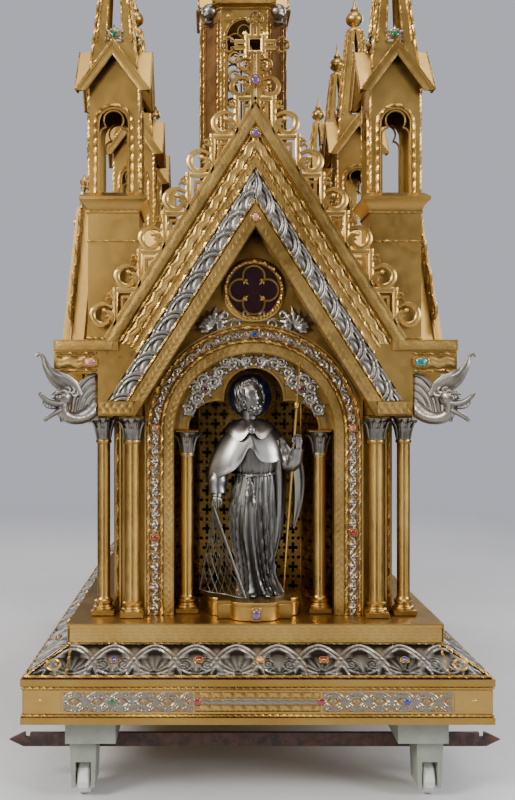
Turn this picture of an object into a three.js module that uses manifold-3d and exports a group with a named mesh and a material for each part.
// A large gilt shrine reliquary in the Gothic taste, built as a small church: a low moulded base on
// four castors, an arcaded body under a cross-gabled roof, two end gables with stepped cresting, a
// canted lattice niche with a standing figure, eight corner and bay pinnacles, and a central tower.
// Millimetres, +Z up. The front faces -Y. The origin is on the floor under the middle of the base.
import * as THREE from "three";
import { mergeVertices } from "three/addons/utils/BufferGeometryUtils.js";
import Module from "manifold-3d";

const wasm = await Module();
wasm.setup();

// Driving sizes

const seat = 0.3; // air left between two pieces that touch
const turn = Math.PI / 2;

const wheelRadius = 30;
const wheelWidth = 22;
const axleRadius = 5;
const axleClearance = 0.4;
const wheelInset = 76; // wheel centre behind the edge of the base's end
const wheelSpread = 312; // wheel centre from the middle line
const housingWidth = 48;
const housingDepth = 66;
const housingLift = 19; // housing's lower edge above the floor
const slotWidth = 28;
const bracketPlate = { width: 90, depth: 92, height: 44, offset: 15 };
const bar = {
  halfLength: 459, height: 25, thickness: 8, lift: 70, point: 26, notch: 9, notchIn: 30, notchDeep: 8,
};

const undersideHeight = 149; // base's underside above the floor
const baseWidth = 832;
const baseLength = 1500;
const filletHeight = 12;
const filletProud = 4;
const friezeHeight = 55;
const skirtRise = 42;
const skirtRun = 75;
const stepHeight = 38;
const stepSlab = 4;
const stepSlabProud = 3;

const columnHeight = 380;
const innerColumnHeight = 352;
const shaftRadius = 12;
const plinthSide = 44;
const plinthHeight = 10;
const columnBaseHeight = 20;
const capitalHeight = 43;
const abacusHeight = 5;
const columnSides = 8;
const pairColumnX = 231;
const cornerColumnX = 287;
const innerColumnX = 128;
const pairColumnInset = 133; // behind the edge of the base's end
const cornerColumnInset = 153;
const innerColumnInset = 169;

const portalInner = 153; // half width of the great arch's opening
const portalBand = 55;
const springHeight = 346; // above the floor slab
const portalThickness = 10;
const wallThickness = 8;
const wallInset = 147; // front wall's face behind the edge of the base's end
const arcSteps = 14;

const bodyHalfWidth = 270; // outer face of the side arcades
const nicheColumnGap = 10; // from an inner column's plinth to the fold of the niche's mouth
const nicheHalfMouth = innerColumnX + plinthSide / 2 + nicheColumnGap;
const nicheHalfBack = 108;
const nicheDepth = 148;
const nicheHeight = 480;
const sheetThickness = 4;
const nimbusRadius = 49;
const nimbusHeight = 417; // centre above the floor slab

const trefoil = { thickness: 8, topRadius: 57, topRise: 61, sideRadius: 55, sideOut: 70, outerRadius: 166 };

const cornice = { halfWidth: 371, inset: 76, top: 140, height: 62 }; // top above the columns
const sideGableThickness = 40;
const gableFilletProud = 7;
const gableHalfSpan = 275;
const gableRise = 433;
const gableFootHalf = 290;
const gableFilletWidth = 19;
const veeHalf = 221;
const veeRise = 347;
const veeRibbon = 13;

const sideGableGap = 12; // from a side gable's foot to the middle of the pinnacle beside it
const sideGableFoot = 12; // from its foot to where the rake starts
const sideGableRise = 307;
const sideVeeInset = 70;
const sideVeeDrop = 113;
const middleGableGap = 8;
const middleGableFoot = 4;
const middleGableRise = 208;
const middleVeeInset = 58;
const middleVeeDrop = 88;
const sideArch = { inner: 84, band: 20, spring: 300 };
const middleArch = { inner: 50, band: 14, spring: 300 };
const arcadeColumn = { apart: 24, foot: 6, footHeight: 24, head: 7, headHeight: 50 };

const crest = {
  thickness: 5, pitch: 45, bar: 6, scroll: 25, eye: 12, steps: 6, back: 12, start: 16, rail: 7,
};
const sideCrest = { thickness: 5, pitch: 43, bar: 6, scroll: 20, steps: 4, back: 12, start: 30 };
const middleCrest = { thickness: 5, pitch: 43, bar: 6, scroll: 18, steps: 3, back: 12, start: 34 };
const crestLap = { sink: 14, over: 10, side: 6, heel: 22, toe: 14, tuck: 3, lift: 8, bud: 5 };
const crestStem = { halfWidth: 5, below: 30, above: 70 };
const crossStem = 40; // how far the cross's stem runs down the gable's point
const cross = { height: 160, arm: 49, width: 15, foil: 15, armHeight: 113, hole: 9 };

const roofGap = 3; // between the roof's eaves and the blocks of the pinnacles
const roofRise = 326;
const roofShell = 12;
const drum = { half: 112, height: 354, low: 150, wall: 12 };

const pinnacleGap = 14; // between the block of a pinnacle and the side gables
const pinnacleInset = 160;
const innerPinnacleY = 150;
const pinnacle = {
  blockHalf: 53, shaftHalf: 48, shaftHeight: 242, platformHalf: 63, platformHeight: 17, coveHeight: 18,
  bodyHalf: 48, bodyHeight: 187, gableHalf: 69, gableRise: 94, overhang: 22, spireHeight: 308,
  spireTop: 17, archHalf: 27, archSpring: 130, roofSheet: 6,
};
const finial = { collar: 19, neck: 8, ball: 21, height: 92 };

const tower = {
  half: 107, chamfer: 50, height: 510, windowHalf: 43, windowSill: 150, windowSpring: 424,
  corniceProud: 12, corniceHeight: 16, gableRise: 150, gableHalf: 78, spireHalf: 88, spireHeight: 430,
  spireBatter: 10, spireFoot: 50, spireTop: 14,
};
const towerFinial = { collar: 20, neck: 9, ball: 32, height: 130 };

const figureBase = { half: 70, lobeRadius: 46, lobeOut: 47, height: 34 };
const figureInset = 178;
const figureHeight = 418;
const staffSize = { radius: 3, height: 448, foot: [60, 13], top: [86, -52] };

const gargoyle = { length: 128, radius: 19, drop: 34, wing: 70, root: 20 };

// Heights and places that follow from the sizes

const friezeBase = undersideHeight + filletHeight;
const upperFillet = friezeBase + friezeHeight;
const skirtBase = upperFillet + filletHeight;
const stepBase = skirtBase + skirtRise;
const floor = stepBase + stepHeight;
const columnTop = floor + columnHeight;
const corniceTop = columnTop + cornice.top;
const halfLength = baseLength / 2;
const halfWidth = baseWidth / 2;
const spring = floor + springHeight;
const wallFront = -halfLength + wallInset;
const wallBack = wallFront + wallThickness;
const portalFront = wallFront - portalThickness;
const wingFront = -halfLength + cornerColumnInset + plinthSide / 2 + 2 * seat;
const gableFront = -halfLength + cornice.inset;
const sideGableFace = cornice.halfWidth;
const pinnacleX = sideGableFace - sideGableThickness - pinnacleGap - pinnacle.blockHalf;
const pinnacleY = halfLength - pinnacleInset;
const roofHalf = pinnacleX - pinnacle.blockHalf - roofGap;
const sideGableCentre = (pinnacleY + innerPinnacleY) / 2;
const sideGableEnd = (pinnacleY - innerPinnacleY) / 2 - sideGableGap;
const sideGableSpan = sideGableEnd - sideGableFoot;
const sideGable = {
  halfSpan: sideGableSpan, rise: sideGableRise, footHalf: sideGableEnd, ends: sideGableEnd,
  veeHalf: sideGableSpan - sideVeeInset, veeRise: sideGableRise - sideVeeDrop,
};
const middleGableEnd = innerPinnacleY - middleGableGap;
const middleGableSpan = middleGableEnd - middleGableFoot;
const middleGable = {
  halfSpan: middleGableSpan, rise: middleGableRise, footHalf: middleGableEnd, ends: middleGableEnd,
  veeHalf: middleGableSpan - middleVeeInset, veeRise: middleGableRise - middleVeeDrop,
};
const blockFront = pinnacleY + pinnacle.blockHalf;
const gableBack = -blockFront - 2 * seat;
const towerBase = corniceTop + drum.height + seat;

// Shape helpers

// A closed mesh as a solid that can be joined and cut.
function solid(geometry) {
  const plain = new THREE.BufferGeometry();
  const source = geometry.index ? geometry.toNonIndexed() : geometry;
  plain.setAttribute("position", source.getAttribute("position"));
  const merged = mergeVertices(plain, 1e-4);
  return new wasm.Manifold(
    new wasm.Mesh({
      numProp: 3,
      vertProperties: merged.attributes.position.array,
      triVerts: new Uint32Array(merged.index.array),
    }),
  );
}

function geometryOf(made) {
  const mesh = made.getMesh();
  const geometry = new THREE.BufferGeometry();
  geometry.setAttribute("position", new THREE.BufferAttribute(mesh.vertProperties.slice(), 3));
  geometry.setIndex(new THREE.BufferAttribute(mesh.triVerts.slice(), 1));
  geometry.computeVertexNormals();
  return geometry;
}

const join = (pieces) => pieces.reduce((a, b) => a.add(b));
const cut = (piece, tools) => tools.reduce((a, b) => a.subtract(b), piece);

// A box between two corners.
function box([x0, y0, z0], [x1, y1, z1]) {
  const geometry = new THREE.BoxGeometry(x1 - x0, y1 - y0, z1 - z0);
  return solid(geometry.translate((x0 + x1) / 2, (y0 + y1) / 2, (z0 + z1) / 2));
}

// An outline in X and Z, pushed back along Y from its front face.
function slab(points, front, thickness) {
  const shape = new THREE.Shape(points.map(([x, z]) => new THREE.Vector2(x, z)));
  const geometry = new THREE.ExtrudeGeometry(shape, { depth: thickness, bevelEnabled: false });
  return solid(geometry.rotateX(turn).translate(0, front + thickness, 0));
}

// An outline in X and Y, pushed up along Z.
function plate(points, low, height) {
  const shape = new THREE.Shape(points.map(([x, y]) => new THREE.Vector2(x, y)));
  const geometry = new THREE.ExtrudeGeometry(shape, { depth: height, bevelEnabled: false });
  return solid(geometry.translate(0, 0, low));
}

// A turned profile of [radius, z] pairs about the Z axis.
function turned(profile, sides) {
  const points = profile.map(([radius, z]) => new THREE.Vector2(radius, z));
  return solid(new THREE.LatheGeometry(points, sides).rotateX(turn));
}

// A skin over rings of equally many points, closed by a fan at each end.
function loft(rings) {
  const count = rings[0].length;
  const positions = [];
  const face = (a, b, c) => positions.push(...a, ...b, ...c);
  const middle = (ring) => [0, 1, 2].map((k) => ring.reduce((sum, p) => sum + p[k], 0) / count);
  const first = rings[0];
  const last = rings[rings.length - 1];
  for (let i = 0; i < count; i++) {
    const j = (i + 1) % count;
    face(middle(first), first[j], first[i]);
    face(middle(last), last[i], last[j]);
    for (let k = 0; k + 1 < rings.length; k++) {
      face(rings[k][i], rings[k][j], rings[k + 1][j]);
      face(rings[k][i], rings[k + 1][j], rings[k + 1][i]);
    }
  }
  const geometry = new THREE.BufferGeometry();
  geometry.setAttribute("position", new THREE.Float32BufferAttribute(positions, 3));
  return solid(geometry);
}

const rectangle = (hx, hy, z) => [[-hx, -hy, z], [hx, -hy, z], [hx, hy, z], [-hx, hy, z]];

// An octagon with four long and four short sides.
function chamfered(half, chamfer, z) {
  const near = half - chamfer;
  return [
    [-near, -half, z], [near, -half, z], [half, -near, z], [half, near, z],
    [near, half, z], [-near, half, z], [-half, near, z], [-half, -near, z],
  ];
}

// A ring of points on an ellipse, turned and moved in the horizontal plane.
function oval(rx, ry, z, cx = 0, cy = 0, sides = 12) {
  return Array.from({ length: sides }, (_, i) => {
    const angle = (2 * Math.PI * i) / sides;
    return [cx + rx * Math.cos(angle), cy + ry * Math.sin(angle), z];
  });
}

// Points of an arc in X and Z, from one angle to another.
function arc(cx, cz, radius, from, to, steps) {
  return Array.from({ length: steps + 1 }, (_, i) => {
    const angle = from + ((to - from) * i) / steps;
    return [cx + radius * Math.cos(angle), cz + radius * Math.sin(angle)];
  });
}

// A round-headed opening's outline, standing on its sill.
function roundHead(half, sill, springs, steps = arcSteps, centre = 0) {
  return [[centre - half, sill], [centre + half, sill], ...arc(centre, springs, half, 0, Math.PI, steps)];
}

const disc = (cx, cz, radius, sides) =>
  arc(cx, cz, radius, Math.PI / sides, 2 * Math.PI + Math.PI / sides, sides).slice(0, -1);

// A solid moved, turned or mirrored by a matrix.
function placed(made, matrix) {
  const geometry = geometryOf(made).applyMatrix4(matrix);
  if (matrix.determinant() < 0) {
    const index = geometry.index.array;
    for (let i = 0; i < index.length; i += 3) [index[i + 1], index[i + 2]] = [index[i + 2], index[i + 1]];
  }
  return solid(geometry);
}

const shifted = (made, x, y, z) => placed(made, new THREE.Matrix4().makeTranslation(x, y, z));
const turnAbout = (made, quarterTurns) => placed(made,
  new THREE.Matrix4().makeRotationZ(turn * quarterTurns));
const mirrored = (made, sx, sy) => placed(made, new THREE.Matrix4().makeScale(sx, sy, 1));

// The scene graph

const shrine = new THREE.Group();
const materials = {
  gilt: new THREE.MeshStandardMaterial({ color: 0xc9a04e, roughness: 0.34, metalness: 1 }),
  silver: new THREE.MeshStandardMaterial({ color: 0x8d8b88, roughness: 0.36, metalness: 1 }),
  paint: new THREE.MeshStandardMaterial({ color: 0x8a8c7c, roughness: 0.55, metalness: 0 }),
  nylon: new THREE.MeshStandardMaterial({ color: 0xd6d6d2, roughness: 0.6, metalness: 0 }),
  iron: new THREE.MeshStandardMaterial({ color: 0x4a3a34, roughness: 0.7, metalness: 0.6 }),
};

function add(name, made, material, [x, y, z] = [0, 0, 0], quarterTurns = 0) {
  const mesh = new THREE.Mesh(geometryOf(made), materials[material]);
  mesh.name = name;
  mesh.position.set(x, y, z);
  mesh.rotation.z = turn * quarterTurns;
  shrine.add(mesh);
}

// The base: a framed frieze block, a sloping skirt and the step that carries the columns.
function addBase() {
  const layer = (proud, low, high) =>
    box([-halfWidth + proud, -halfLength + proud, low], [halfWidth - proud, halfLength - proud, high]);
  add("base_plinth", join([
    layer(0, undersideHeight, friezeBase),
    layer(filletProud, friezeBase, upperFillet),
    layer(0, upperFillet, skirtBase),
  ]), "gilt");
  add("base_skirt", loft([
    rectangle(halfWidth - filletProud, halfLength - filletProud, skirtBase + seat),
    rectangle(halfWidth - skirtRun, halfLength - skirtRun, stepBase - seat),
  ]), "silver");
  const stepX = halfWidth - skirtRun;
  const stepY = halfLength - skirtRun;
  add("floor_step", join([
    box([-stepX, -stepY, stepBase], [stepX, stepY, floor - stepSlab]),
    box([-stepX - stepSlabProud, -stepY - stepSlabProud, floor - stepSlab],
      [stepX + stepSlabProud, stepY + stepSlabProud, floor]),
  ]), "gilt");
}

// A fixed castor: top plate, tapering slotted housing and the axle across its slot.
function castorBracket(side) {
  const top = undersideHeight - seat;
  const plateLow = top - bracketPlate.height;
  const inward = -side * bracketPlate.offset;
  const plateBox = box(
    [inward - bracketPlate.width / 2, -bracketPlate.depth / 2, plateLow],
    [inward + bracketPlate.width / 2, bracketPlate.depth / 2, top],
  );
  const housing = loft([
    rectangle(housingWidth / 2 - 3, housingDepth / 2 - 3, housingLift),
    rectangle(housingWidth / 2, housingDepth / 2, plateLow),
  ]);
  const slotTop = 2 * wheelRadius + 6;
  const slot = box([-slotWidth / 2, -housingDepth, 0], [slotWidth / 2, housingDepth, slotTop]);
  const axle = solid(
    new THREE.CylinderGeometry(axleRadius, axleRadius, slotWidth + 2, 8).rotateZ(turn)
      .translate(0, 0, wheelRadius),
  );
  return join([cut(join([plateBox, housing]), [slot]), axle]);
}

// A plain wheel with a bored hub, its axis along X.
function wheel() {
  const half = wheelWidth / 2;
  const bore = axleRadius + axleClearance;
  const rim = wheelRadius;
  const profile = [
    [bore, -half], [rim - 3, -half], [rim, -half + 3], [rim, half - 3], [rim - 3, half], [bore, half],
    [bore, -half],
  ];
  return placed(turned(profile, 16), new THREE.Matrix4().makeRotationY(turn));
}

// A flat bar across the castors, pointed and notched at both ends.
function pointedBar() {
  const { halfLength: end, height, point, notch, notchIn, notchDeep, lift, thickness } = bar;
  const outline = [
    [-end, lift + height / 2], [-end + point, lift], [end - point, lift],
    [end, lift + height / 2], [end - point, lift + height],
    [end - notchIn, lift + height], [end - notchIn, lift + height - notchDeep],
    [end - notchIn - notch, lift + height - notchDeep], [end - notchIn - notch, lift + height],
    [-end + notchIn + notch, lift + height], [-end + notchIn + notch, lift + height - notchDeep],
    [-end + notchIn, lift + height - notchDeep], [-end + notchIn, lift + height],
    [-end + point, lift + height],
  ];
  return slab(outline, 0, thickness);
}

function addRunningGear() {
  const wheelY = halfLength - wheelInset;
  for (const [end, along] of [["front", -1], ["back", 1]]) {
    for (const [hand, side] of [["left", -1], ["right", 1]]) {
      const place = [side * wheelSpread, along * wheelY, 0];
      add(`castor_bracket_${end}_${hand}`, castorBracket(side), "paint", place);
      add(`wheel_${end}_${hand}`, wheel(), "nylon", [place[0], place[1], wheelRadius]);
    }
    const barY = wheelY - housingDepth / 2 - seat;
    add(`bar_${end}`, pointedBar(), "iron", [0, along * barY, 0], along < 0 ? 0 : 2);
  }
}

// A column: square plinth, moulded foot, smooth shaft, bell capital and square abacus.
function column(height) {
  const half = plinthSide / 2;
  const footTop = plinthHeight + columnBaseHeight;
  const capitalLow = height - abacusHeight - capitalHeight;
  const bellTop = height - abacusHeight;
  const profile = [
    [0, plinthHeight - 1], [shaftRadius + 8, plinthHeight - 1], [shaftRadius + 4, plinthHeight + 11],
    [shaftRadius, footTop], [shaftRadius, capitalLow], [shaftRadius + 3, bellTop - 12],
    [half - 2, bellTop + 1], [0, bellTop + 1],
  ];
  return join([
    box([-half, -half, 0], [half, half, plinthHeight]),
    turned(profile, columnSides),
    box([-half, -half, bellTop], [half, half, height]),
  ]);
}

function addColumns() {
  const tall = column(columnHeight - 2 * seat);
  const short = column(innerColumnHeight - 2 * seat);
  for (const [end, along] of [["front", -1], ["back", 1]]) {
    for (const [hand, side] of [["left", -1], ["right", 1]]) {
      const place = (x, inset) => [side * x, along * (halfLength - inset), floor + seat];
      add(`column_${end}_${hand}_corner`, tall, "gilt", place(cornerColumnX, cornerColumnInset));
      add(`column_${end}_${hand}_pair`, tall, "gilt", place(pairColumnX, pairColumnInset));
      if (along < 0) add(`column_niche_${hand}`, short, "gilt", place(innerColumnX, innerColumnInset));
    }
  }
}

// The end wall, pointed above, with the great arch cut through it and a wing set back on each side,
// behind the pair of columns.
function endWall() {
  const low = floor + seat;
  const halfLow = pairColumnX - plinthSide / 2 - 2 * seat;
  const halfHigh = Math.min(halfLow, pinnacleX - pinnacle.blockHalf - 2 * seat);
  const slope = roofRise / roofHalf;
  const inner = roofHalf - roofShell;
  const apex = corniceTop + inner * slope - 12;
  const outline = [
    [-halfLow, low], [halfLow, low], [halfLow, columnTop - seat], [halfHigh, columnTop - seat],
    [halfHigh, corniceTop - seat], [inner - 12, corniceTop - seat], [inner - 12, corniceTop],
    [0, apex], [-inner + 12, corniceTop], [-inner + 12, corniceTop - seat],
    [-halfHigh, corniceTop - seat], [-halfHigh, columnTop - seat], [-halfLow, columnTop - seat],
  ];
  const opening = roundHead(portalInner, low - 1, spring);
  const middle = cut(slab(outline, wallFront, wallThickness),
    [slab(opening, wallFront - 1, wallThickness + 2)]);
  const wingTop = columnTop - seat;
  const outer = bodyHalfWidth - wallThickness - seat;
  const wings = [-1, 1].flatMap((side) => {
    const [near, far] = side > 0 ? [halfLow - wallThickness, outer] : [-outer, wallThickness - halfLow];
    const edge = side > 0 ? [near, halfLow] : [-halfLow, far];
    return [
      box([near, wingFront, low], [far, wingFront + wallThickness, wingTop]),
      box([edge[0], wallFront, low], [edge[1], wingFront + wallThickness, wingTop]),
    ];
  });
  return join([middle, ...wings]);
}

// The great arch's banded surround, standing against the end wall.
function portal() {
  const outer = roundHead(portalInner + portalBand, floor + seat, spring);
  const inner = roundHead(portalInner, floor - 1, spring);
  const ribbon = roundHead(portalInner + portalBand / 3, floor + seat, spring);
  const front = portalFront - seat;
  const field = slab(outer, front + 3, portalThickness - 3);
  const raised = slab(ribbon, front, portalThickness);
  return cut(join([field, raised]), [slab(inner, front - 1, portalThickness + 2)]);
}

// The three-lobed arch that the two niche columns carry.
function trefoilArch() {
  const low = floor + innerColumnHeight;
  const outer = [[-trefoil.outerRadius, low], [trefoil.outerRadius, low],
    ...arc(0, spring, trefoil.outerRadius, 0, Math.PI, arcSteps).filter(([, z]) => z > low)];
  const front = wallBack + seat;
  const lobe = (x, z, radius) => slab(disc(x, z, radius, 20), front - 1, trefoil.thickness + 2);
  const middle = box([-trefoil.sideOut, front - 1, low - 1],
    [trefoil.sideOut, front + trefoil.thickness + 1, low + 30]);
  return cut(slab(outer, front, trefoil.thickness), [
    middle,
    lobe(0, low + trefoil.topRise, trefoil.topRadius),
    lobe(-trefoil.sideOut, low, trefoil.sideRadius),
    lobe(trefoil.sideOut, low, trefoil.sideRadius),
  ]);
}

// The canted niche of thin lattice sheets, with the round nimbus on its back sheet.
function niche() {
  const front = wallBack + trefoil.thickness + 2 * seat;
  const back = front + nicheDepth;
  const outside = [
    [-nicheHalfMouth, front], [-nicheHalfBack, back], [nicheHalfBack, back], [nicheHalfMouth, front],
  ];
  const grow = sheetThickness;
  const outer = [[-nicheHalfMouth - grow, front], [nicheHalfMouth + grow, front],
    [nicheHalfBack + grow, back + grow], [-nicheHalfBack - grow, back + grow]];
  const inner = [outside[0], outside[3], outside[2], outside[1]].map(([x, y]) => [x, y]);
  inner[0] = [-nicheHalfMouth, front - 1];
  inner[1] = [nicheHalfMouth, front - 1];
  const low = floor + seat;
  const shell = cut(plate(outer, low, nicheHeight), [plate(inner, low - 1, nicheHeight + 2)]);
  const nimbus = slab(disc(0, floor + nimbusHeight, nimbusRadius, 24), back - 4, 6);
  return join([shell, nimbus]);
}

// A gable's inverted V: raking arms, level cornice ends and a foot on each side of the open V.
function gableOutline({ halfSpan, rise, footHalf, veeHalf: vee, veeRise: height, ends }) {
  const foot = columnTop + seat;
  const low = corniceTop - cornice.height;
  const right = [
    [vee, foot], [footHalf, foot], [footHalf, low], [ends, low], [ends, corniceTop], [halfSpan, corniceTop],
  ];
  const left = right.map(([x, z]) => [-x, z]).reverse();
  return [...right, [0, corniceTop + rise], ...left, [0, foot + height]].filter(
    ([x, z], i, all) => i === 0 || x !== all[i - 1][0] || z !== all[i - 1][1],
  );
}

// The band of the given width along the underside of a rake from one side to the other.
function rakeBand(halfSpan, rise, low, width) {
  const drop = width * Math.hypot(1, rise / halfSpan);
  return [
    [-halfSpan, low], [-halfSpan + (drop * halfSpan) / rise, low], [0, low + rise - drop],
    [halfSpan - (drop * halfSpan) / rise, low], [halfSpan, low], [0, low + rise],
  ];
}

function gable(shape, proud, face, back) {
  const field = slab(gableOutline(shape), face + proud, back - face - proud);
  const raisedTop = [
    slab(rakeBand(shape.halfSpan, shape.rise, corniceTop, gableFilletWidth), face, proud + 1),
  ];
  const ribbonHalf = shape.veeHalf + veeRibbon * 1.2;
  const ribbonRise = (ribbonHalf * shape.veeRise) / shape.veeHalf;
  const foot = columnTop + seat;
  raisedTop.push(slab(rakeBand(ribbonHalf, ribbonRise, foot, veeRibbon), face, proud + 1));
  for (const side of [-1, 1]) {
    const [inner, outer] = [side * (shape.halfSpan - gableFilletWidth * 1.2), side * shape.ends];
    if (Math.abs(outer) <= Math.abs(side * shape.halfSpan)) continue;
    raisedTop.push(box(
      [Math.min(inner, outer), face, corniceTop - gableFilletWidth],
      [Math.max(inner, outer), face + proud + 1, corniceTop],
    ));
  }
  return join([field, ...raisedTop]);
}

// Stepped cresting on a rake: angle bars and a scroll on each step, up both sides.
function crestSteps(size, halfSpan, rise, front) {
  const { thickness, pitch, bar: barWidth, scroll, eye, steps, start } = size;
  const lap = crestLap;
  const pieces = [];
  const slope = rise / halfSpan;
  const first = halfSpan - start;
  for (const side of [-1, 1]) {
    for (let i = 0; i < steps; i++) {
      const outerX = first - i * pitch;
      const lowZ = corniceTop + (halfSpan - outerX) * slope - lap.sink;
      const topZ = lowZ + pitch * slope + lap.over;
      const innerX = Math.max(outerX - pitch - lap.side, 0);
      const step = [[outerX, lowZ], [outerX, topZ], [innerX, topZ]];
      const opening = [
        [outerX - barWidth, lowZ + barWidth + lap.heel], [outerX - barWidth, topZ - barWidth],
        [innerX + barWidth + lap.toe, topZ - barWidth],
      ];
      const flip = (points) => points.map(([x, z]) => [side * x, z]);
      const plain = slab(flip(step), front, thickness);
      const face = eye ? cut(plain, [slab(flip(opening), front - 1, thickness + 2)]) : plain;
      pieces.push(face);
      const centre = [side * (outerX + scroll - lap.tuck), lowZ + scroll + lap.lift];
      const round = slab(disc(...centre, scroll, eye ? 8 : 6), front, thickness);
      pieces.push(eye ? cut(round, [slab(disc(...centre, eye, 4), front - 1, thickness + 2)]) : round);
      const bud = [side * (outerX + scroll * 0.3), lowZ + 2 * scroll + lap.bud];
      if (eye) pieces.push(slab(disc(...bud, scroll * 0.42, 4), front, thickness));
    }
  }
  return pieces;
}

// The cross on the end gable's point: stem, arms, an open square and three foils.
function crossPieces(foot, front, thickness) {
  const { height, arm, width, foil, armHeight, hole } = cross;
  const half = width / 2;
  const centre = foot + armHeight;
  const pieces = [
    box([-half, front, foot - crossStem], [half, front + thickness, foot + height]),
    box([-arm, front, centre - half], [arm, front + thickness, centre + half]),
    box([-width, front, centre - width], [width, front + thickness, centre + width]),
  ];
  for (const [x, z] of [[-arm, centre], [arm, centre], [0, foot + height]]) {
    pieces.push(slab(disc(x, z, foil, 8), front, thickness));
  }
  const window = box([-hole, front - 1, centre - hole], [hole, front + thickness + 1, centre + hole]);
  return cut(join(pieces), [window]);
}

// The cresting on an end gable; the back one keeps the steps and leaves the piercing out.
function endCrest(size) {
  const front = gableFront + size.back;
  const apex = corniceTop + gableRise;
  const steps = crestSteps(size, gableHalfSpan, gableRise, front);
  const slope = gableRise / gableHalfSpan;
  const railTop = size.rail * Math.hypot(1, slope);
  const rail = slab([
    [-gableHalfSpan, corniceTop - 1], [gableHalfSpan, corniceTop - 1], [gableHalfSpan, corniceTop + railTop],
    [0, apex + railTop], [-gableHalfSpan, corniceTop + railTop],
  ], front, size.thickness);
  const whole = join([rail, ...steps, crossPieces(apex, front, size.thickness)]);
  const wide = gableHalfSpan + size.pitch;
  const low = corniceTop + 2 * seat - size.pitch * slope;
  const below = slab([[-wide, low], [wide, low], [0, apex + 2 * seat]], front - 1, size.thickness + 2);
  const ledge = box([-cornice.halfWidth, front - 1, 0],
    [cornice.halfWidth, front + size.thickness + 1, corniceTop + seat]);
  return cut(whole, [below, ledge]);
}

const endGable = {
  halfSpan: gableHalfSpan, rise: gableRise, footHalf: gableFootHalf, veeHalf, veeRise,
  ends: cornice.halfWidth,
};

function addEnds() {
  const parts = [
    ["wall", endWall(), "gilt"], ["portal", portal(), "gilt"],
    ["gable", gable(endGable, gableFilletProud, gableFront, gableBack), "gilt"],
  ];
  for (const [end, quarterTurns] of [["front", 0], ["back", 2]]) {
    const cresting = quarterTurns ? { ...crest, eye: 0 } : crest;
    add(`crest_${end}`, endCrest(cresting), "gilt", [0, 0, 0], quarterTurns);
    for (const [name, made, material] of parts) {
      add(`${name}_${end}`, made, material, [0, 0, 0], quarterTurns);
    }
  }
  add("trefoil_arch", trefoilArch(), "gilt");
  add("niche_front", niche(), "gilt");
  const panelHalf = portalInner + 12;
  const panelTop = roundHead(panelHalf, floor + seat, spring);
  add("panel_back", slab(panelTop, wallBack + seat, sheetThickness), "gilt", [0, 0, 0], 2);
}

// One side: a long wall with three blind arches between engaged columns, notched round the pinnacles.
function arcade() {
  const low = floor + seat;
  const face = -bodyHalfWidth;
  const half = -wingFront;
  const clear = pinnacle.blockHalf + 2 * seat;
  const [near, far] = [innerPinnacleY + clear, pinnacleY - clear];
  const point = (centre, reach) => {
    const under = reach - roofShell - 3;
    const top = corniceTop + (under * 0.98 * roofRise) / roofHalf - 3;
    return [
      [centre + reach, columnTop - seat], [centre + reach, corniceTop - seat],
      [centre + under, corniceTop - seat],
      [centre, top], [centre - under, corniceTop - seat], [centre - reach, corniceTop - seat],
      [centre - reach, columnTop - seat],
    ];
  };
  const outline = [
    [-half, low], [half, low], [half, columnTop - seat],
    ...point((near + far) / 2, (far - near) / 2), ...point(0, innerPinnacleY - clear),
    ...point(-(near + far) / 2, (far - near) / 2), [-half, columnTop - seat],
  ];
  let made = slab(outline, face, wallThickness);
  const arches = [[-(near + far) / 2, sideArch], [0, middleArch], [(near + far) / 2, sideArch]];
  for (const [centre, { inner, band, spring: rise }] of arches) {
    const ring = slab(roundHead(inner + band, low, floor + rise, 8, centre), face - 6, 7);
    made = made.add(ring).subtract(slab(roundHead(inner, low - 1, floor + rise, 8, centre), face - 8, 10));
  }
  const top = columnHeight - 4 * seat;
  const { apart, foot, footHeight, head, headHeight } = arcadeColumn;
  const shaft = [
    [0, 0], [shaftRadius + foot, 0], [shaftRadius, footHeight], [shaftRadius, top - headHeight],
    [shaftRadius + head, top - head], [shaftRadius + head, top], [0, top],
  ];
  for (const centre of [-innerPinnacleY, innerPinnacleY]) {
    for (const offset of [-apart, apart]) {
      made = made.add(shifted(turned(shaft, 6), centre + offset, face - shaftRadius, low));
    }
  }
  return made;
}

function addSides() {
  const face = -sideGableFace;
  const back = -sideGableFace + sideGableThickness;
  for (const [hand, quarterTurns] of [["left", -1], ["right", 1]]) {
    add(`arcade_${hand}`, arcade(), "gilt", [0, 0, 0], quarterTurns);
    const gables = [
      ["fore", -sideGableCentre, sideGable, sideCrest], ["middle", 0, middleGable, middleCrest],
      ["aft", sideGableCentre, sideGable, sideCrest],
    ];
    for (const [where, centre, shape, cresting] of gables) {
      const front = face + cresting.back;
      const steps = crestSteps(cresting, shape.halfSpan, shape.rise, front).map((piece) => {
        const rakeHalf = cornice.halfWidth;
        const under = slab([[-rakeHalf, 0], [rakeHalf, 0], [rakeHalf, corniceTop], [-rakeHalf, corniceTop]],
          front - 1, cresting.thickness + 2);
        return cut(piece, [under]);
      });
      const body = gable(shape, gableFilletProud, face, back);
      const peak = corniceTop + shape.rise;
      const stem = box([-crestStem.halfWidth, front, peak - crestStem.below],
        [crestStem.halfWidth, front + cresting.thickness, peak + crestStem.above]);
      const made = join([body, stem, ...steps]);
      const along = quarterTurns > 0 ? centre : -centre;
      add(`gable_${hand}_${where}`, shifted(made, along, 0, 0), "gilt", [0, 0, 0], quarterTurns);
    }
  }
}

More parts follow.
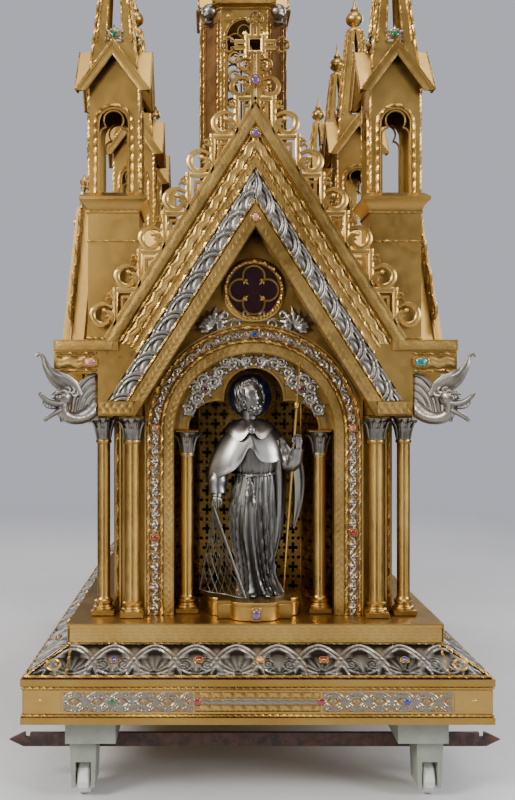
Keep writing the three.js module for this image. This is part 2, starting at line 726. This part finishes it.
// The hollow roof: a long ridge, a cross ridge over each side bay and the drum under the tower.
function roof() {
  const slope = roofRise / roofHalf;
  const ridgeEnd = -gableBack - seat;
  const ridge = (half, length, base) =>
    slab([[-half, base], [half, base], [0, base + half * slope]], -length, 2 * length);
  const clear = pinnacle.blockHalf + 2 * seat;
  const [near, far] = [innerPinnacleY + clear, pinnacleY - clear];
  const reach = sideGableFace - sideGableThickness - seat;
  const crossRidge = (centre, half, shell) => {
    const base = corniceTop - (shell ? 1 : 0);
    const length = reach + (shell ? 5 : 0);
    const top = corniceTop + (half - shell) * slope * 0.98;
    const outline = [[centre - half + shell, base], [centre + half - shell, base], [centre, top]];
    return turnAbout(slab(outline, -length, 2 * length), 1);
  };
  const bayMiddle = (near + far) / 2;
  const bayHalf = (far - near) / 2;
  const bays = [[bayMiddle, bayHalf], [0, innerPinnacleY - clear], [-bayMiddle, bayHalf]];
  const outside = [ridge(roofHalf, ridgeEnd, corniceTop), ...bays.map(([c, h]) => crossRidge(c, h, 0))];
  const inside = [
    ridge(roofHalf - roofShell, ridgeEnd + 5, corniceTop - 1),
    ...bays.map(([c, h]) => crossRidge(c, h, roofShell)),
  ];
  const wide = drum.half - drum.wall;
  const drumTop = corniceTop + drum.height;
  const block = box([-drum.half, -drum.half, corniceTop + drum.low], [drum.half, drum.half, drumTop]);
  const hollow = box([-wide, -wide, corniceTop], [wide, wide, drumTop - drum.wall]);
  const keepClear = [-1, 1].flatMap((sx) => [-1, 1].map((sy) => box(
    [sx * pinnacleX - clear, sy * innerPinnacleY - clear, 0],
    [sx * pinnacleX + clear, sy * innerPinnacleY + clear, drumTop],
  )));
  return cut(join([...outside, block]), [...inside, hollow, ...keepClear]);
}

// A finial turned in one piece: collar, neck, ball and point.
function finialOn(base, { collar, neck, ball, height }, sides) {
  return turned([
    [0, base - 4], [collar * 0.7, base - 4], [collar, base + 2], [collar * 0.7, base + 7], [neck, base + 12],
    [ball * 0.72, base + 12 + ball * 0.35], [ball, base + 12 + ball * 0.85],
    [ball * 0.66, base + 12 + ball * 1.4],
    [neck * 0.8, base + 14 + ball * 1.75], [0, base + height],
  ], sides);
}

// A pinnacle: impost block, plain shaft, platform, open lantern, crossed gablets, spire and finial.
function pinnacleTower(lift) {
  const p = pinnacle;
  const blockLow = columnTop + seat;
  const shaftTop = corniceTop + p.shaftHeight + lift;
  const platformTop = shaftTop + p.coveHeight + p.platformHeight;
  const eaves = platformTop + p.bodyHeight;
  const pieces = [
    box([-p.blockHalf, -p.blockHalf, blockLow], [p.blockHalf, p.blockHalf, corniceTop]),
    box([-p.shaftHalf, -p.shaftHalf, corniceTop - 1], [p.shaftHalf, p.shaftHalf, shaftTop]),
    loft([
      rectangle(p.shaftHalf + 1, p.shaftHalf + 1, shaftTop - 1),
      rectangle(p.platformHalf - 3, p.platformHalf - 3, shaftTop + p.coveHeight),
      rectangle(p.platformHalf, p.platformHalf, shaftTop + p.coveHeight + 4),
      rectangle(p.bodyHalf + 3, p.bodyHalf + 3, platformTop),
    ]),
  ];
  const body = box([-p.bodyHalf, -p.bodyHalf, platformTop - 1],
    [p.bodyHalf, p.bodyHalf, eaves + p.gableRise * 0.5]);
  const opening = roundHead(p.archHalf, platformTop + 1, platformTop + p.archSpring, 4);
  const through = slab(opening, -p.bodyHalf - 5, 2 * p.bodyHalf + 10);
  const slope = p.gableRise / p.gableHalf;
  const gabletReach = p.bodyHalf + p.overhang;
  const chevron = (half, inset, reach) => slab(
    [[-half, eaves - inset], [half, eaves - inset], [0, eaves + half * slope - inset]], -reach, 2 * reach);
  const hood = chevron(p.gableHalf, 0, gabletReach);
  const recess = [-1, 1].map((side) => slab(
    [
      [-p.gableHalf, eaves - p.roofSheet - 4], [p.gableHalf, eaves - p.roofSheet - 4],
      [0, eaves + p.gableRise - p.roofSheet * 2.4],
    ],
    side < 0 ? -gabletReach - 1 : p.bodyHalf, p.overhang + 1));
  const gablet = cut(hood, recess);
  const lantern = cut(join([body, gablet, turnAbout(gablet, 1)]), [through, turnAbout(through, 1)]);
  const spireLow = eaves + 20;
  const spireTop = eaves + p.spireHeight;
  const spire = loft([
    rectangle(p.bodyHalf - 1, p.bodyHalf - 1, spireLow),
    rectangle(p.spireTop, p.spireTop, spireTop),
  ]);
  return join([...pieces, lantern, spire, finialOn(spireTop, finial, 6)]);
}

function addPinnacles() {
  const made = pinnacleTower(0);
  for (const [hand, side] of [["left", -1], ["right", 1]]) {
    const row = [
      ["front", -pinnacleY], ["fore", -innerPinnacleY], ["aft", innerPinnacleY], ["back", pinnacleY],
    ];
    for (const [where, y] of row) add(`pinnacle_${where}_${hand}`, made, "gilt", [side * pinnacleX, y, 0]);
  }
}

// The tower's shaft: a chamfered square with a lancet through each broad side and a cornice.
function towerShaft() {
  const t = tower;
  const top = towerBase + t.height;
  const shaft = loft([chamfered(t.half, t.chamfer, towerBase), chamfered(t.half, t.chamfer, top)]);
  const ledge = loft([
    chamfered(t.half + t.corniceProud, t.chamfer + 4, top - t.corniceHeight),
    chamfered(t.half + t.corniceProud, t.chamfer + 4, top),
  ]);
  const foot = loft([
    chamfered(t.half + t.corniceProud - 5, t.chamfer + 2, towerBase),
    chamfered(t.half - 0.5, t.chamfer, towerBase + 40),
  ]);
  const window = slab(roundHead(t.windowHalf, towerBase + t.windowSill, towerBase + t.windowSpring, 10),
    -t.half - 20, 2 * t.half + 40);
  const bore = loft([
    chamfered(t.half - 14, t.chamfer - 8, towerBase + t.windowSill - 20),
    chamfered(t.half - 14, t.chamfer - 8, top - 40),
  ]);
  return cut(join([shaft, ledge, foot]), [window, turnAbout(window, 1), bore]);
}

// The tower's crown: four gablets round an octagonal spire and its finial.
function towerCrown() {
  const t = tower;
  const base = towerBase + t.height + seat;
  const reach = t.half + 4;
  const hood = slab([[-t.gableHalf, base], [t.gableHalf, base], [0, base + t.gableRise]], -reach, 2 * reach);
  const top = base + t.spireHeight;
  const spire = loft([
    chamfered(t.spireHalf, t.spireHalf * 0.5, base),
    chamfered(t.spireHalf - t.spireBatter, t.spireHalf * 0.46, base + t.spireFoot),
    chamfered(t.spireTop, t.spireTop / 2, top),
  ]);
  return join([hood, turnAbout(hood, 1), spire, finialOn(top, towerFinial, 10)]);
}

// The figure's foot: a square with a round lobe on each side.
function figureFoot() {
  const { half, lobeRadius, lobeOut, height } = figureBase;
  const low = floor + seat;
  const lobe = (x, y) => plate(disc(x, y, lobeRadius, 16), low, height);
  return join([
    box([-half, -half, low], [half, half, low + height]),
    lobe(lobeOut, 0), lobe(-lobeOut, 0), lobe(0, lobeOut), lobe(0, -lobeOut),
  ]);
}

// The standing figure: belted gown, short cape, head, a lowered right arm and a raised left hand.
function figure() {
  const low = floor + figureBase.height + 2 * seat;
  const h = figureHeight;
  const at = (share) => low + share * h;
  const ring = (share, rx, ry, cx = 0, cy = 0, sides = 12) => oval(rx * h, ry * h, at(share), cx * h,
    cy * h, sides);
  const gown = loft([
    ring(0, 0.105, 0.095), ring(0.03, 0.1, 0.09), ring(0.15, 0.1, 0.085), ring(0.35, 0.108, 0.086, -0.005),
    ring(0.5, 0.112, 0.086, -0.005), ring(0.6, 0.105, 0.078), ring(0.66, 0.11, 0.08),
    ring(0.76, 0.11, 0.08), ring(0.82, 0.06, 0.055),
  ]);
  const cape = loft([
    ring(0.585, 0.165, 0.1, -0.025, 0.012), ring(0.66, 0.158, 0.112, -0.005, 0.01),
    ring(0.75, 0.135, 0.105), ring(0.82, 0.075, 0.068),
    ring(0.845, 0.05, 0.05),
  ]);
  const head = loft([
    ring(0.83, 0.035, 0.04, 0, 0, 10), ring(0.86, 0.045, 0.05, 0, -0.004, 10),
    ring(0.905, 0.058, 0.066, 0, -0.006, 10),
    ring(0.95, 0.06, 0.068, 0, 0, 10), ring(0.985, 0.042, 0.048, 0, 0, 10), ring(1, 0.015, 0.018, 0, 0, 10),
  ]);
  const limb = (points, radius) => loft(points.map(([x, y, share], i) => {
    const r = radius * (i === points.length - 1 ? 0.7 : 1);
    return oval(r * h, r * h, at(share), x * h, y * h, 8);
  }));
  const lowered = limb([[-0.185, -0.055, 0.4], [-0.18, -0.045, 0.46], [-0.17, -0.02, 0.56],
    [-0.12, 0, 0.7]], 0.036);
  const raised = limb([[0.13, 0.01, 0.5], [0.16, -0.03, 0.58], [0.19, -0.075, 0.68],
    [0.19, -0.085, 0.75]], 0.038);
  const mantle = loft([
    ring(0.22, 0.03, 0.02, 0.15, 0.02, 8), ring(0.4, 0.05, 0.03, 0.14, 0.02, 8),
    ring(0.6, 0.05, 0.03, 0.13, 0.01, 8),
  ]);
  const net = slab([[-0.24 * h, low + 0.02 * h], [-0.05 * h, low + 0.001 * h],
    [-0.175 * h, at(0.42)], [-0.2 * h, at(0.42)]],
    -0.075 * h, 0.02 * h);
  return cut(join([gown, cape, head, lowered, raised, mantle, net]), [staff(2 * seat)]);
}

// The thin staff, which leans outward and forward through the raised hand.
function staff(grow) {
  const low = floor + figureBase.height + 2 * seat;
  const { radius, height, foot, top } = staffSize;
  const r = radius + grow;
  return loft([oval(r, r, low - grow, ...foot, 8), oval(r, r, low + height, ...top, 8)]);
}

function addFigure() {
  const place = [0, -halfLength + figureInset, 0];
  add("figure_base", figureFoot(), "gilt", place);
  add("figure", figure(), "silver", place);
  add("staff", staff(0), "gilt", place);
}

// A winged beast that leans out from a corner, its head lowered and its wing along the wall.
function beast() {
  const { length, radius, drop, wing } = gargoyle;
  const ring = (along, down, rx, rz) => Array.from({ length: 8 }, (_, i) => {
    const angle = (2 * Math.PI * i) / 8;
    return [rx * Math.cos(angle), -along, -down + rz * Math.sin(angle)];
  });
  const neck = loft([
    ring(0, 0, radius * 1.05, radius * 1.25), ring(length * 0.3, drop * 0.3, radius, radius * 1.1),
    ring(length * 0.5, drop * 0.5, radius * 0.85, radius * 0.9),
    ring(length * 0.7, drop * 0.4, radius * 1.1, radius * 1.1),
    ring(length * 0.86, drop * 0.55, radius * 0.9, radius * 0.8),
    ring(length, drop * 0.75, radius * 0.45, radius * 0.4),
  ]);
  const blade = [[0, -radius], [wing, -radius - 4], [wing * 0.85, radius],
    [wing * 0.3, radius * 1.9], [0, radius]];
  const spread = (side) => {
    const shape = new THREE.Shape(blade.map(([a, z]) => new THREE.Vector2(a, z)));
    const geometry = new THREE.ExtrudeGeometry(shape, { depth: 5, bevelEnabled: false });
    geometry.rotateX(turn).rotateZ(side > 0 ? Math.PI / 4 : -Math.PI / 4 + Math.PI);
    return solid(geometry.translate(0, -length * 0.22, 0));
  };
  return join([neck, spread(1), spread(-1)]);
}

function addBeasts() {
  const height = columnTop + 40;
  const x = pinnacleX + pinnacle.blockHalf;
  const y = blockFront;
  const { root } = gargoyle;
  const outward = placed(beast(), new THREE.Matrix4().makeRotationZ(Math.PI / 4));
  const soffit = corniceTop - cornice.height - seat;
  const made = cut(shifted(outward, x - root, -y + root, height), [
    box([-x - seat, -y - seat, 0], [x + seat, y + seat, corniceTop]),
    box([-endGable.footHalf - seat, -halfLength, 0], [endGable.footHalf + seat, halfLength, corniceTop]),
    box([-cornice.halfWidth, -halfLength, soffit], [cornice.halfWidth, halfLength, corniceTop]),
  ]);
  for (const [end, along] of [["front", 1], ["back", -1]]) {
    for (const [hand, side] of [["left", -1], ["right", 1]]) {
      add(`gargoyle_${end}_${hand}`, mirrored(made, side, along), "silver");
    }
  }
}

addBase();
addRunningGear();
addColumns();
addEnds();
addSides();
add("roof", roof(), "gilt");
addPinnacles();
add("tower", towerShaft(), "gilt");
add("tower_spire", towerCrown(), "gilt");
addFigure();
addBeasts();

export default shrine;
